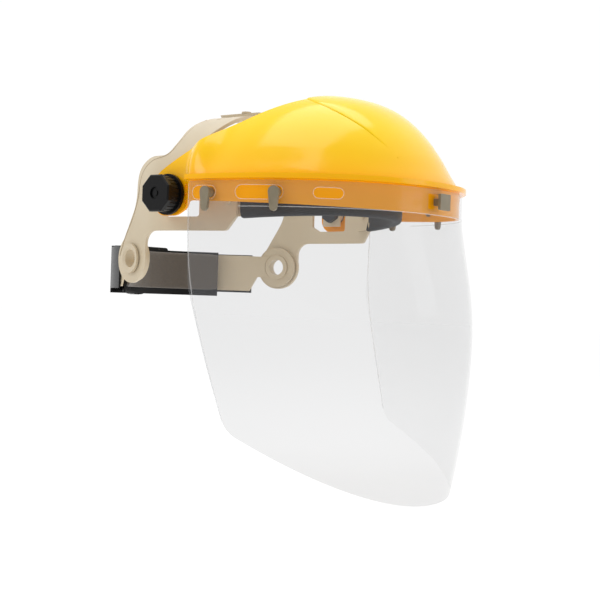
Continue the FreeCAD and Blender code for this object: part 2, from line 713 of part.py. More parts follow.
def make_knob():
    flange_top = KNOB_BASE + KNOB_FLANGE_THICK
    cap_low = KNOB_FACE - KNOB_CAP_THICK
    knob = x_cylinder(KNOB_FLANGE_RADIUS, KNOB_BASE, flange_top)
    knob = knob.fuse(x_cylinder(KNOB_RADIUS, flange_top - 0.5, cap_low + 0.5))
    grooves = []
    for i in range(KNOB_RIBS):
        turn = 2.0 * math.pi * i / KNOB_RIBS
        reach = KNOB_RADIUS + 0.25
        grooves.append(x_cylinder(0.65, flange_top + 0.4, cap_low,
                                  reach * math.cos(turn), reach * math.sin(turn)))
    knob = knob.cut(grooves)
    corner = KNOB_RADIUS / math.cos(math.radians(22.5))
    corners = [Vector(cap_low, corner * math.sin(math.radians(22.5 + 45.0 * i)),
                      corner * math.cos(math.radians(22.5 + 45.0 * i))) for i in range(9)]
    cap = Part.Face(Part.makePolygon(corners)).extrude(Vector(KNOB_CAP_THICK, 0, 0))
    rim = [edge for edge in cap.Edges if edge.BoundBox.XMin > KNOB_FACE - 0.01]
    cap = cap.makeChamfer(0.9, rim)
    cap = cap.cut(x_cylinder(4.2, KNOB_FACE - 1.2, KNOB_FACE + 1.0))
    cap = cap.fuse(x_cylinder(1.9, KNOB_FACE - 2.0, KNOB_FACE - 0.6))
    pocket = x_cylinder(INSERT_RADIUS, KNOB_BASE - 1.0, KNOB_FACE - 5.0)
    return knob.fuse(cap).cut(pocket)


def make_knob_insert():
    outer = x_cylinder(INSERT_RADIUS - 0.01, KNOB_BASE + 0.1, KNOB_FACE - 5.1)
    return outer.cut(x_cylinder(BOLT_RADIUS + RUNNING, KNOB_BASE - 1.0, KNOB_FACE))


# ---- Nape strap, pad and ratchet ----------------------------------------
def nape_at(angle, extra):
    x, y = round_front(NAPE_HALF_WIDTH + extra, NAPE_REACH + extra, 0.0, NAPE_POWER, angle)
    return x, NAPE_SIDE_Y - y


def nape_path(x_low, x_high):
    """path(u, extra) along the nape loop between two places across the head."""
    def angle_of(x):
        low, high = 0.0, 0.5 * math.pi
        for _ in range(50):
            angle = 0.5 * (low + high)
            if nape_at(angle, 0.0)[0] < abs(x):
                low = angle
            else:
                high = angle
        return math.copysign(angle, x)
    first, last = angle_of(x_low), angle_of(x_high)

    def path(u, extra):
        return nape_at(first + (last - first) * u, extra)
    return path


STRAP_TOP = NAPE_Z + STRAP_HEIGHT / 2.0
STRAP_BOTTOM = NAPE_Z - STRAP_HEIGHT / 2.0
DISC_LOW = -PANEL_THICK - STRAP_GAP - STRAP_THICK     # from the arm's outer face


def make_left_strap():
    centre, normal = ring_frame()
    disc = Part.makeCylinder(STRAP_DISC_RADIUS, STRAP_THICK, Vector(0, 0, DISC_LOW))
    disc = oriented(disc, centre, normal)
    half = STRAP_THICK / 2.0
    start_x = nape_half_at(RING_Y + 6.0)
    band = plan_ring(nape_path(STRAP_END_X, start_x), -half, half, STRAP_BOTTOM - 2.0,
                     STRAP_TOP + 2.0)
    near = RING_Y - 2.0
    shoulder = RING_Y + STRAP_DISC_RADIUS
    outline = side_prism([(near, RING_Z + 8.5, 0.0), (shoulder, RING_Z + 8.5, 0.0),
                          (shoulder + 6.0, STRAP_TOP, 1.0), (150.0, STRAP_TOP, 0.0),
                          (150.0, STRAP_BOTTOM, 0.0), (shoulder + 6.0, STRAP_BOTTOM, 1.0),
                          (shoulder, RING_Z - 8.5, 0.0), (near, RING_Z - 8.5, 0.0)], 0.0, 110.0)
    strap = band.common(outline).fuse(disc)
    hole = Part.makeCylinder(RIVET_RADIUS + 0.01, 20.0, Vector(0, 0, -12.0))
    seat = Part.makeCylinder(RIVET_FLANGE, 8.0, Vector(0, 0, DISC_LOW - 8.05))
    return strap.cut([oriented(hole, centre, normal), oriented(seat, centre, normal)])


def nape_half_at(y):
    """How far from the middle the nape loop is at distance y behind the pivots."""
    share = (y - NAPE_SIDE_Y) / NAPE_REACH
    return NAPE_HALF_WIDTH * (1.0 - share ** NAPE_POWER) ** (1.0 / NAPE_POWER)


def make_rivet():
    centre, normal = ring_frame()
    tube_low = DISC_LOW - 1.3
    tube_high = RIVET_PLAY + RIVET_FLANGE_THICK
    shapes = [Part.makeCylinder(RIVET_RADIUS, tube_high - tube_low, Vector(0, 0, tube_low)),
              Part.makeCylinder(RIVET_FLANGE, RIVET_FLANGE_THICK, Vector(0, 0, RIVET_PLAY)),
              Part.makeCylinder(RIVET_FLANGE - 0.8, 1.2, Vector(0, 0, tube_low))]
    rivet = shapes[0].fuse(shapes[1:])
    rivet = rivet.cut(Part.makeCylinder(RIVET_BORE, 20.0, Vector(0, 0, -12.0)))
    dish = Part.makeCone(RIVET_BORE, RIVET_BORE + 2.2, 1.2, Vector(0, 0, tube_high - 1.1))
    return oriented(rivet.cut(dish), centre, normal)


def make_housing_plate():
    plate = rounded_box(-HOUSING_HALF_WIDTH, HOUSING_HALF_WIDTH,
                        HOUSING_FRONT, HOUSING_FRONT + HOUSING_WALL,
                        NAPE_Z - HOUSING_HALF_HEIGHT, NAPE_Z + HOUSING_HALF_HEIGHT, 3.0)
    for x, z in SCREW_PLACES:
        plate = plate.cut(y_cylinder(SCREW_HEAD + 0.02, HOUSING_FRONT - 1.0,
                                     HOUSING_FRONT + 0.8, x, z))
        plate = plate.cut(y_cylinder(SCREW_RADIUS, HOUSING_FRONT, HOUSING_FRONT + 3.0, x, z))
    return plate


SCREW_SPREAD_Z = HOUSING_HALF_HEIGHT - 1.3
SCREW_PLACES = [(x, NAPE_Z + z) for x in (-SCREW_SPREAD_X, SCREW_SPREAD_X)
                for z in (-SCREW_SPREAD_Z, SCREW_SPREAD_Z)]


def make_housing():
    low, high = NAPE_Z - HOUSING_HALF_HEIGHT, NAPE_Z + HOUSING_HALF_HEIGHT
    front = HOUSING_FRONT + HOUSING_WALL + 0.02
    body = rounded_box(-HOUSING_HALF_WIDTH, HOUSING_HALF_WIDTH, front, HOUSING_REAR, low, high, 3.0)
    inner = HOUSING_HALF_WIDTH - HOUSING_WALL
    cavity = box(-inner, inner, front - 1.0, RACK_REAR + 0.3,
                 low + HOUSING_WALL + 0.8, high - HOUSING_WALL - 0.8)
    slots = box(-HOUSING_HALF_WIDTH - 1.0, HOUSING_HALF_WIDTH + 1.0, front - 1.0, RACK_FRONT - 0.4,
                STRAP_BOTTOM - 0.4, STRAP_TOP + 0.4)
    pocket = y_cylinder(DIAL_RADIUS + 0.5, WEB_REAR, HOUSING_REAR + 5.0, 0.0, NAPE_Z)
    bore = y_cylinder(SHAFT_RADIUS + RUNNING, RACK_REAR, WEB_REAR + 1.0, 0.0, NAPE_Z)
    screws = [y_cylinder(SCREW_RADIUS, front - 1.0, front + 6.0, x, z)
              for x, z in SCREW_PLACES]
    return body.cut([cavity, slots, pocket, bore] + screws)


def make_housing_screws():
    screws = []
    for x, z in SCREW_PLACES:
        shank = y_cylinder(SCREW_RADIUS - 0.01, HOUSING_FRONT + 0.3, HOUSING_FRONT + 7.0, x, z)
        head = y_cylinder(SCREW_HEAD, HOUSING_FRONT + 0.1, HOUSING_FRONT + 0.78, x, z)
        screws.append(shank.fuse(head))
    return Part.Compound(screws)


def make_dial():
    low = WEB_REAR + 0.25
    dial = y_cylinder(DIAL_RADIUS, low, DIAL_REAR, 0.0, NAPE_Z)
    rim = [edge for edge in dial.Edges if edge.BoundBox.YMin > DIAL_REAR - 0.01]
    dial = dial.makeFillet(1.5, rim)
    grooves = []
    for i in range(DIAL_RIBS):
        turn = 2.0 * math.pi * i / DIAL_RIBS
        reach = DIAL_RADIUS + 0.5
        grooves.append(y_cylinder(1.1, low - 1.0, DIAL_REAR + 1.0,
                                  reach * math.cos(turn), NAPE_Z + reach * math.sin(turn)))
    grooves.append(y_cylinder(DIAL_RADIUS - 6.0, DIAL_REAR - 1.4, DIAL_REAR + 1.0, 0.0, NAPE_Z))
    grooves.append(y_cylinder(SHAFT_RADIUS, low - 1.0, low + 5.0, 0.0, NAPE_Z))
    return dial.cut(grooves)


def tooth_face(to3d, half_root, half_tip, root, tip):
    points = [to3d(-half_root, root), to3d(half_root, root), to3d(half_tip, tip),
              to3d(-half_tip, tip), to3d(-half_root, root)]
    return Part.Face(Part.makePolygon(points))


def make_pinion():
    pitch = TOOTH_MODULE * PINION_TEETH / 2.0
    thick = RACK_REAR - RACK_FRONT
    gear = y_cylinder(pitch - 1.1 * TOOTH_MODULE, RACK_FRONT, RACK_REAR, 0.0, NAPE_Z)
    teeth = []
    for i in range(PINION_TEETH):
        turn = 2.0 * math.pi * i / PINION_TEETH

        def to3d(across, out, turn=turn):
            return Vector(out * math.sin(turn) + across * math.cos(turn), RACK_FRONT,
                          NAPE_Z + out * math.cos(turn) - across * math.sin(turn))
        face = tooth_face(to3d, 0.85, 0.35, pitch - 1.3 * TOOTH_MODULE, pitch + 0.85 * TOOTH_MODULE)
        teeth.append(face.extrude(Vector(0, thick, 0)))
    shaft = y_cylinder(SHAFT_RADIUS - 0.01, RACK_REAR - 0.5, WEB_REAR + 5.0, 0.0, NAPE_Z)
    return gear.fuse(teeth + [shaft])


def make_rack(side):
    """Rack above (side 1) or below (side -1) the pinion, teeth towards it."""
    pitch = TOOTH_MODULE * PINION_TEETH / 2.0
    step = math.pi * TOOTH_MODULE
    thick = RACK_REAR - RACK_FRONT
    root = pitch + 1.1 * TOOTH_MODULE
    edges = sorted((NAPE_Z + side * root, NAPE_Z + side * (root + 3.4)))
    rack = box(-RACK_HALF_LENGTH, RACK_HALF_LENGTH, RACK_FRONT, RACK_REAR, edges[0], edges[1])
    count = int(RACK_HALF_LENGTH / step)
    teeth = []
    for i in range(-count, count):
        middle = (i + 0.5) * step

        def to3d(across, out, middle=middle):
            return Vector(middle + across, RACK_FRONT, NAPE_Z + side * out)
        face = tooth_face(to3d, 0.85, 0.35, root + 0.2, pitch - 0.85 * TOOTH_MODULE)
        teeth.append(face.extrude(Vector(0, thick, 0)))
    return rack.fuse(teeth)


def make_pad_carrier():
    """Sleeve round both straps, open at its ends and where the ratchet housing sits."""
    path = nape_path(-PAD_HALF_WIDTH, PAD_HALF_WIDTH)
    inner = CARRIER_OFFSET - CARRIER_WALL
    low, high = NAPE_Z + CARRIER_BOTTOM, NAPE_Z + CARRIER_TOP
    back = plan_ring(path, inner, CARRIER_OFFSET, low, high)
    lips = [plan_ring(path, inner, STRAP_THICK, low, low + CARRIER_WALL),
            plan_ring(path, inner, STRAP_THICK, high - CARRIER_WALL, high)]
    cover = plan_ring(path, STRAP_THICK, STRAP_THICK + CARRIER_WALL, low, high)
    gap = box(-HOUSING_HALF_WIDTH - 0.6, HOUSING_HALF_WIDTH + 0.6, HOUSING_FRONT - 0.2, 150.0,
              NAPE_Z - 30.0, NAPE_Z + 30.0)
    return back.fuse(lips + [cover]).cut(gap)


def make_nape_pad():
    outer = CARRIER_OFFSET - CARRIER_WALL - 0.1
    return plan_ring(nape_path(-PAD_HALF_WIDTH, PAD_HALF_WIDTH), outer - PAD_THICK, outer,
                     NAPE_Z - PAD_HALF_HEIGHT, NAPE_Z + PAD_HALF_HEIGHT)


# ---- Every node ---------------------------------------------------------
def fastening_nodes():
    nodes = {}
    pins = []
    button = make_button()
    pin = make_button_pin()
    for side_name, side in SIDES:
        for place_name, (_, _, y) in zip(("rear", "front"), BUTTON_SLOTS):
            point, normal = face_frame(y, side, 0.0)
            here = at_height(point, BUTTON_Z)
            nodes["turn_button_%s_%s" % (side_name, place_name)] = oriented(button, here, normal)
            pins.append(oriented(pin, here, normal))
    nodes["button_pins"] = Part.Compound(pins)
    nodes["front_hook"] = make_hook()
    return nodes, pins


def build():
    nodes, pins = fastening_nodes()
    nodes["browguard"] = make_browguard().cut(pins)
    nodes["visor"] = make_visor()
    nodes["side_frame_left"] = make_left_frame(CROWN_TOP)
    nodes["side_frame_right"] = mirrored(make_left_frame(CROWN_TOP - PANEL_THICK - 0.15))
    nodes["front_band"] = make_front_band()
    nodes["sweatband"] = make_sweatband()
    nodes["band_studs"] = make_band_studs()
    nodes["crown_pegs"] = make_crown_pegs()
    pairs = {"pivot_block": make_pivot_block(),
             "pivot_bolt": make_pivot_bolt(),
             "friction_washer": make_washer(BLOCK_OUTER + WASHER_GAP, BOSS_RADIUS + 0.2),
             "seat_washer": make_washer(PIVOT_FACE + WASHER_GAP, SEAT_WASHER_RADIUS),
             "knob": make_knob(),
             "knob_insert": make_knob_insert(),
             "nape_strap": make_left_strap(),
             "hollow_rivet": make_rivet()}
    for name, shape in pairs.items():
        nodes[name + "_left"] = shape
        nodes[name + "_right"] = mirrored(shape)
    nodes["rack_upper"] = make_rack(1)
    nodes["rack_lower"] = make_rack(-1)
    nodes["housing_plate"] = make_housing_plate()
    nodes["ratchet_housing"] = make_housing()
    nodes["housing_screws"] = make_housing_screws()
    nodes["ratchet_dial"] = make_dial()
    nodes["pinion"] = make_pinion()
    nodes["pad_carrier"] = make_pad_carrier()
    nodes["nape_pad"] = make_nape_pad()
    return nodes


for node_name, node_shape in sorted(build().items()):
    save(node_name, node_shape)
    spans = node_shape.BoundBox
    print("%-26s valid %s solids %d volume %8.0f  x %7.1f %7.1f y %7.1f %7.1f z %7.1f %7.1f" % (
        node_name, node_shape.isValid(), len(node_shape.Solids), node_shape.Volume,
        spans.XMin, spans.XMax, spans.YMin, spans.YMax, spans.ZMin, spans.ZMax))
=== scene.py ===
import math

import bmesh
import bpy
from mathutils import Matrix, Vector


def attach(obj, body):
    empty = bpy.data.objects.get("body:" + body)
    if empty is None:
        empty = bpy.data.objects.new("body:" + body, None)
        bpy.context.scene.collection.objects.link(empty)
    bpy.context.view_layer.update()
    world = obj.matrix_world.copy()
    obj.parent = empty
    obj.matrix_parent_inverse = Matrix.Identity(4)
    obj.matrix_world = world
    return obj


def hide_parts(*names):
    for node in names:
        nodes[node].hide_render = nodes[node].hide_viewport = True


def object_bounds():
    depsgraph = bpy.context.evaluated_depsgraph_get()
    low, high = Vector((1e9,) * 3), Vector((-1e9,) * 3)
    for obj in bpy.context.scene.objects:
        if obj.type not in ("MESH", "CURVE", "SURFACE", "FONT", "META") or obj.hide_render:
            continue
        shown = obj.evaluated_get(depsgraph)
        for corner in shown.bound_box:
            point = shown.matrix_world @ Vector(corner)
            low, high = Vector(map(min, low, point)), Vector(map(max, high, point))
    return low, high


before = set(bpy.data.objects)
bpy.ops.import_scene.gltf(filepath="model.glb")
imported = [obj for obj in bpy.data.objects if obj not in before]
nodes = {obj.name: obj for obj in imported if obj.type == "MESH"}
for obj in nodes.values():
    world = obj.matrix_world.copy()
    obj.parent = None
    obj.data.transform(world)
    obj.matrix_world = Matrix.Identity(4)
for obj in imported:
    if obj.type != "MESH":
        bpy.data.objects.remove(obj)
cad_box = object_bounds()
MM = 0.001

# ---- Camera ----
# The shield is seen from ahead and to the wearer's right, level with the middle of the visor,
# with the camera turned a touch about its own line of sight.
CAMERA_PLACE = Vector((-749.2, -629.7, -68.2)) * MM
CAMERA_AIM = Vector((0.0, -40.79, -70.02)) * MM
CAMERA_ROLL = math.radians(1.94)
camera_data = bpy.data.cameras.new("camera")
camera_data.lens = 78.0
camera_data.sensor_width = 36.0
camera_data.clip_start = 0.02
camera_data.clip_end = 50.0
camera = bpy.data.objects.new("camera", camera_data)
bpy.context.scene.collection.objects.link(camera)
forward = (CAMERA_AIM - CAMERA_PLACE).normalized()
right = forward.cross(Vector((0, 0, 1))).normalized()
up = right.cross(forward)
rolled_right = math.cos(CAMERA_ROLL) * right + math.sin(CAMERA_ROLL) * up
rolled_up = math.cos(CAMERA_ROLL) * up - math.sin(CAMERA_ROLL) * right
turn = Matrix((rolled_right, rolled_up, -forward)).transposed().to_4x4()
camera.matrix_world = Matrix.Translation(CAMERA_PLACE) @ turn
bpy.context.scene.camera = camera

# ---- Side frames and crown straps ----
# Two beige moulded panels, each with an arm to the nape and half of the crown strap. They are
# satin polypropylene, with a low moulded bead that follows the rear and top edges; the bead is
# coloured darker brown as painted shade along those edges.


class Finish:
    """A new material with its Principled shader and short ways to add and join nodes."""

    def __init__(self, name, color, roughness):
        self.material = bpy.data.materials.new(name)
        self.material.use_nodes = True
        self.tree = self.material.node_tree
        self.shader = self.tree.nodes["Principled BSDF"]
        self.shader.inputs["Base Color"].default_value = (*color, 1.0)
        self.shader.inputs["Roughness"].default_value = roughness
        self.coordinates = self.tree.nodes.new("ShaderNodeTexCoord")

    def add(self, kind, **settings):
        node = self.tree.nodes.new(kind)
        for key, value in settings.items():
            if key in node.inputs:
                node.inputs[key].default_value = value
            else:
                setattr(node, key, value)
        return node

    def join(self, source, output, target, socket):
        self.tree.links.new(source.outputs[output], target.inputs[socket])

    def noise(self, scale, detail=3.0, where="Object"):
        noise = self.add("ShaderNodeTexNoise", Scale=scale, Detail=detail)
        self.join(self.coordinates, where, noise, "Vector")
        return noise

    def vary_color(self, factor, output, low, high, first, second):
        ramp = self.add("ShaderNodeValToRGB")
        ramp.color_ramp.elements[0].position = low
        ramp.color_ramp.elements[1].position = high
        ramp.color_ramp.elements[0].color = (*first, 1.0)
        ramp.color_ramp.elements[1].color = (*second, 1.0)
        self.join(factor, output, ramp, "Fac")
        self.join(ramp, "Color", self.shader, "Base Color")
        return ramp

    def vary_roughness(self, factor, output, low, high):
        spread = self.add("ShaderNodeMapRange")
        spread.inputs["To Min"].default_value = low
        spread.inputs["To Max"].default_value = high
        self.join(factor, output, spread, "Value")
        self.join(spread, "Result", self.shader, "Roughness")

    def bump(self, factor, output, strength, distance):
        bump = self.add("ShaderNodeBump", Strength=strength, Distance=distance)
        self.join(factor, output, bump, "Height")
        self.join(bump, "Normal", self.shader, "Normal")
        return bump


def paint(finish, *names):
    """Gives CAD nodes a finish."""
    for name in names:
        nodes[name].data.materials.clear()
        nodes[name].data.materials.append(finish.material)


def new_piece(name, mesh, finish, body):
    """An object for a mesh that is already in place, riding on a body."""
    piece = bpy.data.objects.new(name, mesh)
    bpy.context.scene.collection.objects.link(piece)
    mesh.materials.clear()
    mesh.materials.append(finish.material)
    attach(piece, body)
    return piece


beige = Finish("beige_polypropylene", (0.60, 0.50, 0.35), 0.42)
cloud = beige.noise(18.0, 4.0)
beige.vary_color(cloud, "Fac", 0.35, 0.7, (0.60, 0.505, 0.355), (0.66, 0.56, 0.405))
grain = beige.noise(900.0, 2.0)
beige.vary_roughness(grain, "Fac", 0.34, 0.5)
beige.bump(grain, "Fac", 0.06, 0.0002)
beige.shader.inputs["Subsurface Weight"].default_value = 0.05
beige.shader.inputs["Subsurface Radius"].default_value = (0.004, 0.003, 0.002)
paint(beige, "side_frame_left", "side_frame_right", "crown_pegs")

SIDES = (("left", 1), ("right", -1))
PANEL_HALF = 89.6
PANEL_FRONT = -46.0
PANEL_FRONT_IN = 9.4
BEND_START = 20.0
BEND_END = 34.0
ARM_SLOPE = math.tan(math.radians(12.0))
CROWN_BASE = 8.0
CROWN_TOP = {"left": 68.6, "right": 66.05}


def panel_half(y):
    """Outer face of a side panel, in millimetres from the middle."""
    if y < BEND_START:
        ahead = (BEND_START - y) / (BEND_START - PANEL_FRONT)
        return PANEL_HALF - PANEL_FRONT_IN * ahead ** 2
    if y < BEND_END:
        return PANEL_HALF - ARM_SLOPE * (y - BEND_START) ** 2 / (2.0 * (BEND_END - BEND_START))
    return PANEL_HALF - ARM_SLOPE * (y - 0.5 * (BEND_START + BEND_END))


def frame_surface(y, z, height):
    """Point on the left frame's outer face, on the panel or up its crown strap."""
    if z < CROWN_BASE:
        return Vector((panel_half(y), y, z))
    lean = math.asin(min((z - CROWN_BASE) / height, 1.0))
    return Vector((panel_half(y) * math.cos(lean), y, z))


def bead(name, points, thickness, finish, body, closed=False):
    """A thin round bead along a smooth line of points, in millimetres."""
    curve = bpy.data.curves.new(name, "CURVE")
    curve.dimensions = "3D"
    curve.bevel_depth = thickness * MM / 2.0
    curve.bevel_resolution = 2
    curve.resolution_u = 6
    spline = curve.splines.new("NURBS")
    spline.points.add(len(points) - 1)
    for knot, place in zip(spline.points, points):
        knot.co = (*(place * MM), 1.0)
    spline.order_u = 3
    spline.use_endpoint_u = not closed
    spline.use_cyclic_u = closed
    holder = bpy.data.objects.new(name, curve)
    mesh = bpy.data.meshes.new_from_object(holder)
    bpy.data.objects.remove(holder)
    mesh.name = name
    return new_piece(name, mesh, finish, body)


# The bead's darker brown is painted edge shade; its noise only varies the tone at random.
edge_shade_finish = Finish("beige_bead_painted_shade", (0.40, 0.31, 0.19), 0.4)
bead_grain = edge_shade_finish.noise(300.0)
edge_shade_finish.vary_color(bead_grain, "Fac", 0.3, 0.7, (0.40, 0.31, 0.19), (0.47, 0.37, 0.24))
for side_name, side in SIDES:
    height = CROWN_TOP[side_name] - CROWN_BASE
    edge = [(64.4, -42.0), (60.5, -33.0), (56.0, -25.0), (50.8, -18.0), (44.5, -6.0), (41.6, 4.0),
            (40.9, 13.0), (38.0, 21.0), (32.0, 26.6), (24.0, 28.2), (18.2, 29.8), (15.0, 34.0),
            (14.2, 41.0), (15.6, 48.0), (19.0, 54.5), (22.8, 60.5)]
    line = []
    for y, z in edge:
        place = frame_surface(y, z, height)
        line.append(Vector((side * place.x, place.y, place.z)))
    bead("frame_bead_%s" % side_name, line, 0.7, edge_shade_finish, "headgear")

# ---- Front band and its studs ----
# A thin beige band round the forehead, held to the side frames by two snapped studs on each
# side and mostly hidden by the sweatband sleeved over it.
paint(beige, "front_band", "band_studs")

# ---- Sweatband ----
# A black padded sleeve folded under the front band: a thin woven outer layer and a thick foam
# pad inside, sewn shut along its top edge. It takes the band's curve from ear to ear.
BAND_HALF = 82.2
BAND_REACH = 101.5
BAND_CENTRE = -9.0
BAND_POWER = 2.1
SLEEVE_END = -46.8


def round_front(half, reach, centre, power, angle):
    """Point on a rounded plan curve, in millimetres; angle 0 is the middle of the front."""
    s = math.sin(angle)
    c = math.cos(angle)
    k = (abs(s) ** power + abs(c) ** power) ** (-1.0 / power)
    return half * s * k, centre - reach * c * k


def angle_at(y, half, reach, centre, power):
    """The angle at which a plan curve has come back to y."""
    low = 0.0
    high = 0.5 * math.pi
    for _ in range(40):
        middle = 0.5 * (low + high)
        if round_front(half, reach, centre, power, middle)[1] < y:
            low = middle
        else:
            high = middle
    return middle


def grid_piece(columns, rows, place, closed_rows=False, along=1.0, across=1.0):
    """A bmesh grid whose corners (u, w) in 0..1 are put where place(u, w) says, with UVs."""
    work = bmesh.new()
    bmesh.ops.create_grid(work, x_segments=columns, y_segments=rows, size=0.5)
    sheet = work.loops.layers.uv.new("cloth")
    for face in work.faces:
        for loop in face.loops:
            loop[sheet].uv = ((loop.vert.co.x + 0.5) * along, (loop.vert.co.y + 0.5) * across)
    for vert in work.verts:
        vert.co = place(vert.co.x + 0.5, vert.co.y + 0.5) * MM
    if closed_rows:
        bmesh.ops.remove_doubles(work, verts=work.verts, dist=1e-6)
    return work


def close_and_store(work, name, smooth=True):
    """Fills open ends, turns the faces outwards and stores the mesh."""
    rims = [edge for edge in work.edges if edge.is_boundary]
    if rims:
        bmesh.ops.holes_fill(work, edges=rims, sides=0)
    bmesh.ops.recalc_face_normals(work, faces=work.faces)
    for face in work.faces:
        face.smooth = smooth
    mesh = bpy.data.meshes.new(name)
    work.to_mesh(mesh)
    work.free()
    return mesh


def rounded(share, corners):
    """Point on a closed outline of (x, z) corners at a share of its length."""
    lengths = []
    for i in range(len(corners)):
        a = corners[i]
        b = corners[(i + 1) % len(corners)]
        lengths.append(math.hypot(b[0] - a[0], b[1] - a[1]))
    goal = (share % 1.0) * sum(lengths)
    for i, length in enumerate(lengths):
        if goal <= length:
            a = corners[i]
            b = corners[(i + 1) % len(corners)]
            part = goal / length
            return a[0] + (b[0] - a[0]) * part, a[1] + (b[1] - a[1]) * part
        goal -= length
    return corners[0]


sleeve_angle = angle_at(SLEEVE_END, BAND_HALF, BAND_REACH, BAND_CENTRE, BAND_POWER)


def sleeve_place(u, w):
    """u runs from ear to ear, w round the sleeve's section."""
    angle = sleeve_angle * (2.0 * u - 1.0)
    x, y = round_front(BAND_HALF, BAND_REACH, BAND_CENTRE, BAND_POWER, angle)
    ax, ay = round_front(BAND_HALF, BAND_REACH, BAND_CENTRE, BAND_POWER, angle + 1e-3)
    length = math.hypot(ax - x, ay - y)
    out_x = -(ay - y) / length
    out_y = (ax - x) / length
    if out_x * x + out_y * (y - BAND_CENTRE) < 0.0:
        out_x, out_y = -out_x, -out_y
    low = -15.6 + 4.5 * (SLEEVE_END - y) / (SLEEVE_END - BAND_CENTRE + BAND_REACH)
    puff = math.sin(math.pi * u) ** 0.3
    # corners of the folded section: distance off the band's outer face, height
    section = ((1.8, 11.6), (1.9, 8.0), (1.9, 0.0), (1.8, low + 2.2), (0.4, low + 0.3),
               (-2.6, low), (-5.4, low + 0.6), (-6.6 * puff - 0.4, low + 2.6),
               (-6.9 * puff - 0.3, 0.0), (-6.6 * puff - 0.4, 8.0), (-5.0, 11.4), (-2.9, 12.2),
               (-2.5, 10.0), (-2.5, -9.5), (0.3, -9.5), (0.3, 11.0))
    off, z = rounded(w, section)
    return Vector((x + out_x * off, y + out_y * off, z))


cloth = Finish("black_sweatband_cloth", (0.008, 0.008, 0.009), 0.85)
weave = cloth.add("ShaderNodeTexWave", Scale=420.0, Distortion=1.0, wave_type="BANDS")
cloth.join(cloth.coordinates, "UV", weave, "Vector")
cross = cloth.add("ShaderNodeTexWave", Scale=420.0, Distortion=1.0, wave_type="BANDS",
                  bands_direction="Y")
cloth.join(cloth.coordinates, "UV", cross, "Vector")
plait = cloth.add("ShaderNodeMath", operation="MULTIPLY")
cloth.join(weave, "Fac", plait, 0)
cloth.join(cross, "Fac", plait, 1)
cloth.vary_color(plait, "Value", 0.1, 0.9, (0.004, 0.004, 0.005), (0.016, 0.016, 0.018))
cloth.bump(plait, "Value", 0.4, 0.0004)
cloth.shader.inputs["Sheen Weight"].default_value = 0.06
cloth.shader.inputs["Sheen Roughness"].default_value = 0.5
work = grid_piece(120, 64, sleeve_place, True, 0.24, 0.075)
sleeve = new_piece("sweatband_sleeve", close_and_store(work, "sweatband_sleeve"), cloth,
                   "headgear")
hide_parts("sweatband")
soften = sleeve.modifiers.new("soften", "SUBSURF")
soften.levels = 1
soften.render_levels = 1

# ---- Pivots ----
# On each side a bolt with a six-sided head goes out through a beige block in the frame's
# window, a thin washer, the browguard's lobe and a black ribbed knob with a brass insert.
paint(beige, "pivot_block_left", "pivot_block_right")
bolt_steel = Finish("blackened_steel", (0.05, 0.05, 0.055), 0.35)
bolt_steel.shader.inputs["Metallic"].default_value = 0.8
bolt_wear = bolt_steel.noise(160.0, 5.0)
bolt_steel.vary_roughness(bolt_wear, "Fac", 0.25, 0.5)
paint(bolt_steel, "pivot_bolt_left", "pivot_bolt_right", "housing_screws")
rubber = Finish("washer_rubber", (0.02, 0.02, 0.02), 0.7)
rubber_grain = rubber.noise(600.0)
rubber.bump(rubber_grain, "Fac", 0.1, 0.0002)
paint(rubber, "friction_washer_left", "friction_washer_right", "seat_washer_left",
      "seat_washer_right")
brass = Finish("turned_brass", (0.60, 0.38, 0.12), 0.3)
brass.shader.inputs["Metallic"].default_value = 1.0
brass_turning = brass.noise(500.0)
brass.vary_roughness(brass_turning, "Fac", 0.2, 0.4)
paint(brass, "knob_insert_left", "knob_insert_right")
black = Finish("black_moulded_plastic", (0.004, 0.004, 0.0045), 0.32)
black.shader.inputs["Specular IOR Level"].default_value = 0.22
black_grain = black.noise(700.0, 2.0)
black.vary_roughness(black_grain, "Fac", 0.24, 0.42)
black.bump(black_grain, "Fac", 0.08, 0.0002)
paint(black, "knob_left", "knob_right")

# ---- Browguard ----
# A glossy yellow shell moulded in one piece: a dome with a raised middle panel, upright side
# walls, a rim lip and two flat lobes for the pivots.
yellow = Finish("yellow_glossy_plastic", (0.93, 0.53, 0.005), 0.16)
# Painted shade and light: the colour runs by height from dark orange low on the walls, shaded
# behind the visor, to light yellow at the top of the dome, lit from above.
split = yellow.add("ShaderNodeSeparateXYZ")
yellow.join(yellow.coordinates, "Object", split, "Vector")
level = yellow.add("ShaderNodeMapRange")
level.inputs["From Min"].default_value = -0.016
level.inputs["From Max"].default_value = 0.075
yellow.join(split, "Z", level, "Value")
shade = yellow.vary_color(level, "Result", 0.22, 0.31, (1.0, 0.40, 0.0), (1.0, 0.50, 0.0))
shade.color_ramp.elements.new(0.72).color = (1.0, 0.67, 0.0, 1.0)
skin = yellow.noise(70.0, 2.0)
yellow.vary_roughness(skin, "Fac", 0.12, 0.2)
yellow.bump(skin, "Fac", 0.02, 0.0004)
yellow.shader.inputs["Specular IOR Level"].default_value = 0.3
yellow.shader.inputs["Subsurface Weight"].default_value = 0.06
yellow.shader.inputs["Subsurface Radius"].default_value = (0.006, 0.003, 0.0005)
yellow.shader.inputs["Coat Weight"].default_value = 0.08
yellow.shader.inputs["Coat Roughness"].default_value = 0.08
paint(yellow, "browguard")

BROW_HALF = 105.4
BROW_REACH = 129.3
BROW_CENTRE = -26.0
BROW_POWER = 2.2
RIDGE = -55.0
RIM = 9.0
DOME_HEIGHT = 66.0
DOME_POWER = 3.2
REAR_EDGE_Z = 22.8           # height of the dome's rear edge over the pivots
REAR_EDGE_SLOPE = 0.62       # and its rise per millimetre forward
PANEL_RAISE = 0.9
PANEL_NOSE = -142.0          # the raised panel has faded away here


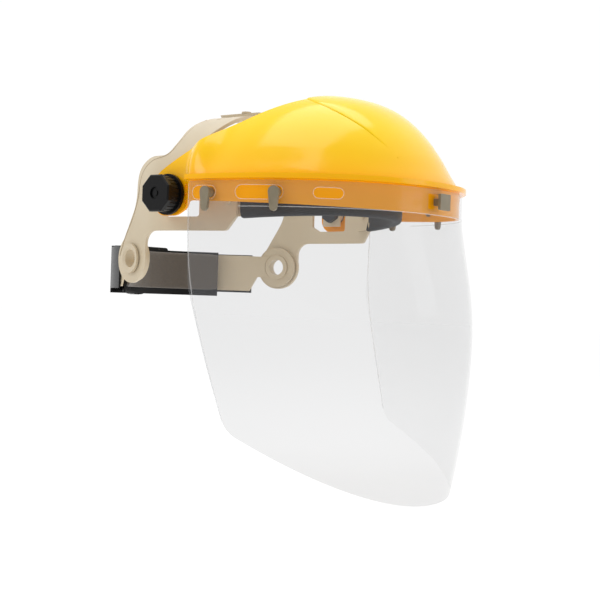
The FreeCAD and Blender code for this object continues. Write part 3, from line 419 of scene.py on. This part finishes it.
def dome_height(x, y):
    """Height of the dome's outer face over a place in plan, in millimetres."""
    low = 0.02
    high = 1.0
    for _ in range(30):
        foot = 0.5 * (low + high)
        across = abs(x) / foot / BROW_HALF
        plan_y = RIDGE + (y - RIDGE) / foot if y < RIDGE else y
        ahead = max((BROW_CENTRE - plan_y) / BROW_REACH, 0.0)
        if across ** BROW_POWER + ahead ** BROW_POWER > 1.0:
            low = foot
        else:
            high = foot
    return RIM + DOME_HEIGHT * (1.0 - foot ** DOME_POWER)


def crease(y):
    """Half width of the raised panel at distance y."""
    share = (y + 66.0) / -78.0
    return 43.5 + 27.0 * share - 52.0 * share ** 2 + 10.0 * share ** 3


def panel_place(u, w):
    """u runs across the raised panel, w from the dome's rear edge to the front."""
    side = 2.0 * u - 1.0
    half = crease(-66.0 - 78.0 * w)
    x = side * half
    rear = -66.0
    for _ in range(12):
        rear = (REAR_EDGE_Z - dome_height(x, rear)) / REAR_EDGE_SLOPE
    y = rear + (PANEL_NOSE - rear) * w
    inside = min(1.0, (1.0 - abs(side)) / 0.05, (1.0 - w) / 0.6)
    lift = PANEL_RAISE * math.sin(0.5 * math.pi * max(inside, 0.0)) - 0.12
    return Vector((x, y, dome_height(x, y) + lift))


work = grid_piece(80, 60, panel_place)
for face in work.faces:
    face.smooth = True
bmesh.ops.recalc_face_normals(work, faces=work.faces)
if sum(face.normal.z for face in work.faces) < 0.0:
    bmesh.ops.reverse_faces(work, faces=work.faces)
panel_mesh = bpy.data.meshes.new("dome_panel")
work.to_mesh(panel_mesh)
work.free()
panel = new_piece("dome_panel", panel_mesh, yellow, "visor_assembly")
wall = panel.modifiers.new("wall", "SOLIDIFY")
wall.thickness = 1.0 * MM
wall.offset = -1.0

# ---- Visor ----
# A clear sheet moulded to the browguard's curve, swelling forward in front of the face. Its
# top edge stands behind the rim lip and has slots for the turn-buttons.
clear = Finish("clear_visor_sheet", (0.20, 0.205, 0.215), 0.05)
facing = clear.add("ShaderNodeLayerWeight", Blend=0.15)
veil = clear.add("ShaderNodeMapRange")
veil.inputs["To Min"].default_value = 0.235
veil.inputs["To Max"].default_value = 0.40
clear.join(facing, "Facing", veil, "Value")
from_axis = clear.add("ShaderNodeVectorMath", operation="MULTIPLY_ADD")
from_axis.inputs[1].default_value = (1.0, 1.0, 0.0)
from_axis.inputs[2].default_value = (0.0, 0.026, 0.0)
clear.join(clear.coordinates, "Object", from_axis, 0)
outward = clear.add("ShaderNodeVectorMath", operation="DOT_PRODUCT")
clear.join(from_axis, "Vector", outward, 0)
clear.join(clear.coordinates, "Normal", outward, 1)
outer_skin = clear.add("ShaderNodeMapRange")
outer_skin.inputs["From Min"].default_value = -0.004
outer_skin.inputs["From Max"].default_value = 0.004
outer_skin.inputs["To Min"].default_value = 0.25
clear.join(outward, "Value", outer_skin, "Value")
sight = clear.add("ShaderNodeNewGeometry")
front_skin = clear.add("ShaderNodeMath", operation="SUBTRACT")
front_skin.inputs[0].default_value = 1.0
clear.join(sight, "Backfacing", front_skin, 1)
one_skin = clear.add("ShaderNodeMath", operation="MULTIPLY")
clear.join(outer_skin, "Result", one_skin, 0)
clear.join(front_skin, "Value", one_skin, 1)
sheet_alpha = clear.add("ShaderNodeMath", operation="MULTIPLY")
clear.join(one_skin, "Value", sheet_alpha, 0)
clear.join(veil, "Result", sheet_alpha, 1)
clear.join(sheet_alpha, "Value", clear.shader, "Alpha")
haze = clear.noise(6.0, 2.0)
clear.vary_roughness(haze, "Fac", 0.03, 0.08)
clear.material.surface_render_method = "BLENDED"
paint(clear, "visor")

# The slot rims and the moulding line across the front are thin near-white beads: painted
# highlights where the clear sheet's edges catch the light.
clear_edge_highlight = Finish("clear_rim_painted_highlight", (0.93, 0.94, 0.95), 0.08)
clear_edge_highlight.shader.inputs["Alpha"].default_value = 0.22
edge_haze = clear_edge_highlight.noise(40.0)
clear_edge_highlight.vary_roughness(edge_haze, "Fac", 0.05, 0.12)
VISOR_OUT = 2.0


def visor_frame(y, side):
    """Point on the visor's outer face at z = 0, the way along it and the way out of it."""
    half = BROW_HALF + VISOR_OUT
    reach = BROW_REACH + VISOR_OUT
    angle = angle_at(y, half, reach, BROW_CENTRE, BROW_POWER)
    x, y = round_front(half, reach, BROW_CENTRE, BROW_POWER, angle)
    ax, ay = round_front(half, reach, BROW_CENTRE, BROW_POWER, angle + 1e-3)
    along = Vector((side * (ax - x), ay - y, 0.0)).normalized()
    out = Vector((along.y, -along.x, 0.0)) * side
    return Vector((side * x, y, 0.0)), along, out


SLOTS = ((-40.0, 20.0, 4.8), (-81.7, 34.0, 4.8), (-122.5, 20.0, 3.7))   # y, length, half height
SLOT_STEPS = 24
SHEET_DIP = 420.0      # a slot's end lies across * across / SHEET_DIP behind its middle
for side_name, side in SIDES:
    for number, (y, length, half_height) in enumerate(SLOTS):
        middle, along, out = visor_frame(y, side)
        run = length / 2.0 - half_height
        loop = []
        for step in range(SLOT_STEPS):
            angle = 2.0 * math.pi * step / SLOT_STEPS
            shift = run if math.cos(angle) > 0.0 else -run
            across = half_height * math.cos(angle) + shift
            height = half_height * math.sin(angle)
            curved = middle + along * across + out * (0.02 - across * across / SHEET_DIP)
            loop.append(curved + Vector((0.0, 0.0, height)))
        bead("slot_edge_%s_%d" % (side_name, number), loop, 0.5, clear_edge_highlight, "visor_assembly",
             True)

# Each rear edge of the sheet gets a thin near-white bead, a painted highlight along the edge.
rear_edge_highlight = Finish("rear_rim_painted_highlight", (0.95, 0.96, 0.97), 0.1)
rear_edge_highlight.shader.inputs["Alpha"].default_value = 0.2
sheet_haze = rear_edge_highlight.noise(40.0)
rear_edge_highlight.vary_roughness(sheet_haze, "Fac", 0.06, 0.14)
VISOR_BULGE = 15.0
VISOR_BULGE_Z = -98.0
VISOR_FRONT_BOTTOM = -209.0
VISOR_CORNER = -163.0
VISOR_TAPER = 11.5
WALL_BOTTOM = -8.8


def visor_place(y, z, side, off):
    """Point on the visor at distance y and height z, off beyond its outer face."""
    drop = max(WALL_BOTTOM - z, 0.0) / (WALL_BOTTOM - VISOR_CORNER)
    half = BROW_HALF + VISOR_OUT + off - VISOR_TAPER * drop ** 1.4
    bulge = 0.0
    if VISOR_BULGE_Z < z < WALL_BOTTOM:
        share = (WALL_BOTTOM - z) / (WALL_BOTTOM - VISOR_BULGE_Z)
        bulge = VISOR_BULGE * math.sin(0.5 * math.pi * share) ** 1.3
    if z <= VISOR_BULGE_Z:
        share = (VISOR_BULGE_Z - z) / (VISOR_BULGE_Z - VISOR_FRONT_BOTTOM)
        bulge = VISOR_BULGE * (1.0 - 0.92 * share ** 2)
    reach = BROW_REACH + VISOR_OUT + off + bulge
    angle = angle_at(y, half, reach, BROW_CENTRE, BROW_POWER)
    x, y = round_front(half, reach, BROW_CENTRE, BROW_POWER, angle)
    return Vector((side * x, y, z))


REAR_EDGE = ((-25.9, 6.0), (-25.9, -20.0), (-26.1, -40.0), (-27.6, -60.0), (-31.2, -80.0),
             (-36.7, -100.0), (-42.4, -120.0), (-48.4, -140.0), (-52.5, -153.0))
SHEET_MIDDLE = -0.6
for side_name, side in SIDES:
    bead("visor_edge_%s" % side_name,
         [visor_place(y, z, side, SHEET_MIDDLE) for y, z in REAR_EDGE], 0.8, rear_edge_highlight,
         "visor_assembly")
MOULDING_Z = -9.4
MOULDING_SPAN = math.radians(72.0)
moulding = []
for step in range(-30, 31):
    angle = MOULDING_SPAN * step / 30.0
    x, y = round_front(BROW_HALF + VISOR_OUT, BROW_REACH + VISOR_OUT, BROW_CENTRE, BROW_POWER,
                       angle)
    moulding.append(Vector((x, y, MOULDING_Z)))
bead("visor_moulding", moulding, 0.6, clear_edge_highlight, "visor_assembly")

# ---- Turn-buttons and front hook ----
# Grey-brown moulded levers on pins through the browguard's wall; turned down they hold the
# visor's slots. A fixed hook of the same plastic stands through the visor's square hole.
taupe = Finish("taupe_plastic", (0.20, 0.165, 0.105), 0.38)
taupe_cloud = taupe.noise(120.0)
taupe.vary_color(taupe_cloud, "Fac", 0.3, 0.7, (0.20, 0.165, 0.105), (0.25, 0.21, 0.14))
taupe_grain = taupe.noise(900.0)
taupe.bump(taupe_grain, "Fac", 0.06, 0.0002)
paint(taupe, "turn_button_left_rear", "turn_button_left_front", "turn_button_right_rear",
      "turn_button_right_front", "front_hook", "button_pins")

# ---- Nape straps and hollow rivets ----
# Flat beige straps that hang from the arms on hollow flanged rivets and run back into the
# ratchet, with a pad carrier clipped over them.
paint(beige, "nape_strap_left", "nape_strap_right", "hollow_rivet_left", "hollow_rivet_right")
paint(black, "pad_carrier")

# ---- Nape pad ----
# A foam pad covered in brushed grey-brown cloth, glued to the carrier, soft at its edges.
NAPE_SIDE = 13.0
NAPE_HALF = 85.4
NAPE_REACH = 110.0
NAPE_POWER = 2.0
NAPE_MIDDLE = -49.7
PAD_END_ANGLE = 0.745
PAD_MIDDLE = -10.5
PAD_HALF_THICK = 2.0
PAD_HALF_HEIGHT = 14.6


def nape_place(x_share, off, z):
    """Point off the nape loop's middle line; x_share runs from -1 to 1 across the pad."""
    angle = PAD_END_ANGLE * x_share
    x, y = round_front(NAPE_HALF + off, NAPE_REACH + off, 0.0, NAPE_POWER, angle)
    return Vector((x, NAPE_SIDE - y, z))


def pad_place(u, w):
    """u runs along the pad, w round its section from the carrier side."""
    turn = 2.0 * math.pi * w
    end = max(1.0 - abs(2.0 * u - 1.0) ** 14, 0.0) ** 0.5
    round_z = math.copysign(abs(math.sin(turn)) ** 0.35, math.sin(turn))
    round_off = math.copysign(abs(math.cos(turn)) ** 0.7, math.cos(turn))
    dimple = 0.35 * math.sin(18.0 * math.pi * u) * math.cos(turn) if math.cos(turn) < 0 else 0.0
    off = PAD_MIDDLE + PAD_HALF_THICK * round_off * (0.35 + 0.65 * end) - 0.15 * dimple
    height = PAD_HALF_HEIGHT * round_z * (0.9 + 0.1 * end)
    return nape_place(2.0 * u - 1.0, off, NAPE_MIDDLE + height)


brushed = Finish("brushed_nape_cloth", (0.08, 0.065, 0.052), 0.9)
fibre = brushed.add("ShaderNodeTexNoise", Scale=2600.0, Detail=4.0)
brushed.join(brushed.coordinates, "Object", fibre, "Vector")
brushed.vary_color(fibre, "Fac", 0.3, 0.72, (0.055, 0.045, 0.036), (0.135, 0.112, 0.09))
brushed.bump(fibre, "Fac", 0.35, 0.0005)
brushed.shader.inputs["Sheen Weight"].default_value = 0.25
brushed.shader.inputs["Sheen Roughness"].default_value = 0.6
work = grid_piece(90, 28, pad_place, True, 0.12, 0.07)
pad = new_piece("nape_cushion", close_and_store(work, "nape_cushion"), brushed, "nape")
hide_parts("nape_pad")

# ---- Pad sleeve ends ----
# A black strip on the outside of each strap carries the pad carrier's sleeve on towards the
# rivet, so that only the strap's neck shows beside the arm.
STRIP_SECTION = ((1.9, -16.0), (2.9, -16.0), (2.9, 15.2), (1.9, 15.2))   # off the loop, height
STRIP_START = 0.735
STRIP_SWEEP = 0.3
for side_name, side in SIDES:
    def strip_place(u, w, side=side):
        off, z = rounded(w, STRIP_SECTION)
        angle = STRIP_START + STRIP_SWEEP * u
        x, y = round_front(NAPE_HALF + off, NAPE_REACH + off, 0.0, NAPE_POWER, angle)
        return Vector((side * x, NAPE_SIDE - y, NAPE_MIDDLE + z))

    work = grid_piece(16, 64, strip_place, True)
    new_piece("sleeve_end_%s" % side_name,
              close_and_store(work, "sleeve_end_%s" % side_name, False), black, "nape")

# ---- Ratchet ----
# A black box at the back with a ribbed dial; its pinion draws the toothed strap ends in.
paint(black, "ratchet_housing", "housing_plate", "ratchet_dial", "pinion", "rack_upper",
      "rack_lower")

# ---- Floor and light ----
# A white table under the visor's tip and large soft lamps in a white room.
low_corner = cad_box[0]
floor_mesh = bpy.data.meshes.new("floor")
work = bmesh.new()
bmesh.ops.create_grid(work, x_segments=1, y_segments=1, size=6.0,
                      matrix=Matrix.Translation((0.0, 0.0, low_corner[2])))
work.to_mesh(floor_mesh)
work.free()
floor = bpy.data.objects.new("floor", floor_mesh)
bpy.context.scene.collection.objects.link(floor)
white = Finish("white_table", (0.2, 0.2, 0.2), 0.6)
white.shader.inputs["Emission Color"].default_value = (1.0, 1.0, 1.0, 1.0)
white.shader.inputs["Emission Strength"].default_value = 0.855
white.shader.inputs["Specular IOR Level"].default_value = 0.0
white_grain = white.noise(3.0)
white.vary_roughness(white_grain, "Fac", 0.55, 0.65)
floor_mesh.materials.append(white.material)

world = bpy.data.worlds.new("white_room")
world.use_nodes = True
room = world.node_tree
room_direction = room.nodes.new("ShaderNodeTexCoord")
toward_backdrop = room.nodes.new("ShaderNodeVectorMath")
toward_backdrop.operation = "DOT_PRODUCT"
toward_backdrop.inputs[1].default_value = (0.74, 0.6, 0.35)
room.links.new(room_direction.outputs["Generated"], toward_backdrop.inputs[0])
room_light = room.nodes.new("ShaderNodeMapRange")
room_light.interpolation_type = "SMOOTHSTEP"
room_light.inputs["From Min"].default_value = -0.55
room_light.inputs["From Max"].default_value = 0.55
room_light.inputs["To Min"].default_value = 0.42
room_light.inputs["To Max"].default_value = 1.02
room.links.new(toward_backdrop.outputs["Value"], room_light.inputs["Value"])
room.links.new(room_light.outputs["Result"], room.nodes["Background"].inputs["Strength"])
room.nodes["Background"].inputs["Color"].default_value = (1.0, 1.0, 1.0, 1.0)
bpy.context.scene.world = world


def soft_lamp(name, place, aim, size, power):
    lamp = bpy.data.lights.new(name, "AREA")
    lamp.shape = "RECTANGLE"
    lamp.size = size[0]
    lamp.size_y = size[1]
    lamp.energy = power
    holder = bpy.data.objects.new(name, lamp)
    bpy.context.scene.collection.objects.link(holder)
    holder.location = place
    aim_line = Vector(aim) - Vector(place)
    holder.rotation_euler = aim_line.to_track_quat("-Z", "Y").to_euler()


soft_lamp("top_softbox", (0.0, 0.0, 1.2), (0.0, -0.05, 0.0), (1.2, 0.8), 7.0)
soft_lamp("side_softbox", (-1.3, 0.6, 0.9), (0.0, -0.05, 0.03), (0.5, 0.8), 4.0)
soft_lamp("front_softbox", (0.6, -1.3, 0.5), (0.0, -0.05, 0.0), (0.6, 0.8), 2.5)
bpy.context.scene.view_settings.view_transform = "Standard"
bpy.context.scene.view_settings.exposure = 0.0
